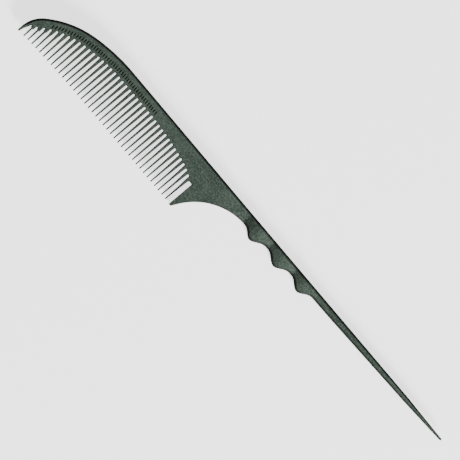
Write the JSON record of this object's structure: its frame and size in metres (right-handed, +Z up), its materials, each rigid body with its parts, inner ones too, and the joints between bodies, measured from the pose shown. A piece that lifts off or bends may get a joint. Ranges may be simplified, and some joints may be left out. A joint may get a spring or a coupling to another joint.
{
  "type": "rat tail comb",
  "caption": "Crescent-backed cutting comb with fine teeth, a three-wave finger grip and a long pointed sectioning tail.",
  "frame": {"origin": "middle of the bounding box on the flat underside", "axes": "+X along the comb from the nose to the tip of the tail, +Y across it from the tooth tips to the back, +Z up through the thickness"},
  "size_m": [0.2348, 0.0242, 0.0042],
  "materials": {
    "comb_plastic": "satin moulded plastic, very dark grey green, with polished tooth tips and edges"
  },
  "bodies": {
    "root": {"grip": "comb_plastic", "heel_guard": "comb_plastic", "nose_guard": "comb_plastic", "spine": "comb_plastic", "tail": "comb_plastic", "tooth_01": "comb_plastic", "tooth_02": "comb_plastic", "tooth_03": "comb_plastic", "tooth_04": "comb_plastic", "tooth_05": "comb_plastic", "tooth_06": "comb_plastic", "tooth_07": "comb_plastic", "tooth_08": "comb_plastic", "tooth_09": "comb_plastic", "tooth_10": "comb_plastic", "tooth_11": "comb_plastic", "tooth_12": "comb_plastic", "tooth_13": "comb_plastic", "tooth_14": "comb_plastic", "tooth_15": "comb_plastic", "tooth_16": "comb_plastic", "tooth_17": "comb_plastic", "tooth_18": "comb_plastic", "tooth_19": "comb_plastic", "tooth_20": "comb_plastic", "tooth_21": "comb_plastic", "tooth_22": "comb_plastic", "tooth_23": "comb_plastic", "tooth_24": "comb_plastic", "tooth_25": "comb_plastic", "tooth_26": "comb_plastic", "tooth_27": "comb_plastic", "tooth_28": "comb_plastic", "tooth_29": "comb_plastic", "tooth_30": "comb_plastic", "tooth_31": "comb_plastic", "tooth_32": "comb_plastic", "tooth_33": "comb_plastic", "tooth_34": "comb_plastic", "tooth_35": "comb_plastic", "tooth_36": "comb_plastic", "tooth_37": "comb_plastic", "tooth_38": "comb_plastic", "tooth_39": "comb_plastic"}
  },
  "joints": []
}
